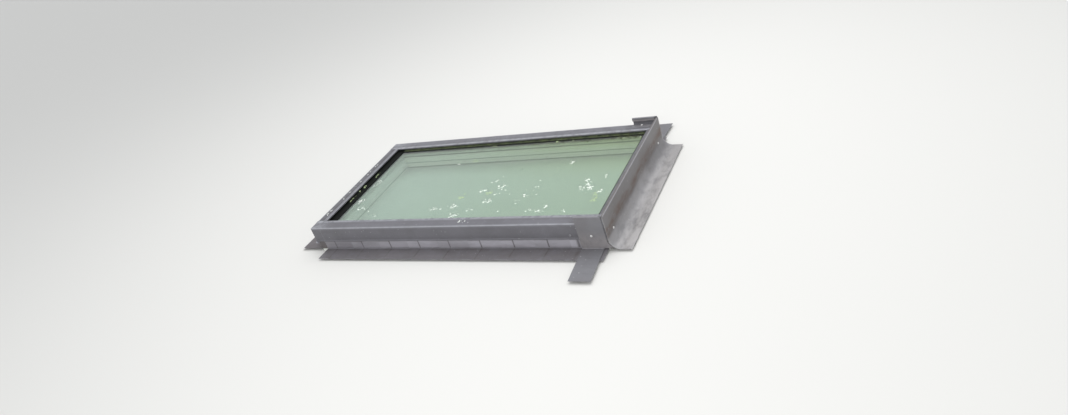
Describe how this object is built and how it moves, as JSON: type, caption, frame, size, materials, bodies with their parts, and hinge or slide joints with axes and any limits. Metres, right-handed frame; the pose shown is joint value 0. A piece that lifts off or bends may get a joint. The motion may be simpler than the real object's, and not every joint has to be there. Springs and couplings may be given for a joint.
{
  "type": "roof skylight",
  "caption": "Fixed roof skylight: double-glazed timber frame under grey folded covers, with apron, lapped step flashing, coved head flashing and corner legs.",
  "frame": {"origin": "on the deck plane, in the middle of the four covers and of the four outer deck fixing holes", "axes": "+Z is the outward normal of the roof deck, +Y points up the slope from the sill to the head, +X is to the right of someone looking up the slope"},
  "size_m": [1.0998, 1.5535, 0.148],
  "materials": {
    "cover_metal": "satin dark grey lacquer",
    "flashing_metal": "satin grey lacquer, weathered",
    "head_metal": "satin grey lacquer, stained",
    "painted_timber": "white paint",
    "glass": "clear, slightly green",
    "gasket_rubber": "matt black",
    "sealant": "matt black",
    "block_plastic": "matt",
    "zinc_steel": "zinc plated",
    "fastener_steel": "bright"
  },
  "bodies": {
    "root": {"angle_screws": "fastener_steel", "bracket_left_1": "zinc_steel", "bracket_left_2": "zinc_steel", "bracket_left_3": "zinc_steel", "bracket_right_1": "zinc_steel", "bracket_right_2": "zinc_steel", "bracket_right_3": "zinc_steel", "bracket_screws": "fastener_steel", "corner_angle_left": "head_metal", "corner_angle_right": "head_metal", "corner_leg_left": "head_metal", "corner_leg_right": "head_metal", "cover_screws": "fastener_steel", "flashing_nails": "fastener_steel", "frame_head": "painted_timber", "frame_jamb_left": "painted_timber", "frame_jamb_right": "painted_timber", "frame_screws": "fastener_steel", "frame_sill": "painted_timber", "gasket_head": "gasket_rubber", "gasket_jamb_left": "gasket_rubber", "gasket_jamb_right": "gasket_rubber", "gasket_sill": "gasket_rubber", "glass_edge_seal": "sealant", "glass_inner_pane": "glass", "glass_outer_pane": "glass", "glass_spacer": "sealant", "glazing_tape": "sealant", "head_cover": "cover_metal", "head_flashing": "head_metal", "head_flashing_screws": "fastener_steel", "jamb_cover_left": "cover_metal", "jamb_cover_right": "cover_metal", "leg_screws": "fastener_steel", "setting_blocks": "block_plastic", "sill_cover": "cover_metal", "sill_flashing": "flashing_metal", "step_flashing_left_1": "flashing_metal", "step_flashing_left_2": "flashing_metal", "step_flashing_left_3": "flashing_metal", "step_flashing_left_4": "flashing_metal", "step_flashing_left_5": "flashing_metal", "step_flashing_left_6": "flashing_metal", "step_flashing_left_7": "flashing_metal", "step_flashing_left_8": "flashing_metal", "step_flashing_left_9": "flashing_metal", "step_flashing_right_1": "flashing_metal", "step_flashing_right_2": "flashing_metal", "step_flashing_right_3": "flashing_metal", "step_flashing_right_4": "flashing_metal", "step_flashing_right_5": "flashing_metal", "step_flashing_right_6": "flashing_metal", "step_flashing_right_7": "flashing_metal", "step_flashing_right_8": "flashing_metal", "step_flashing_right_9": "flashing_metal"}
  },
  "joints": []
}
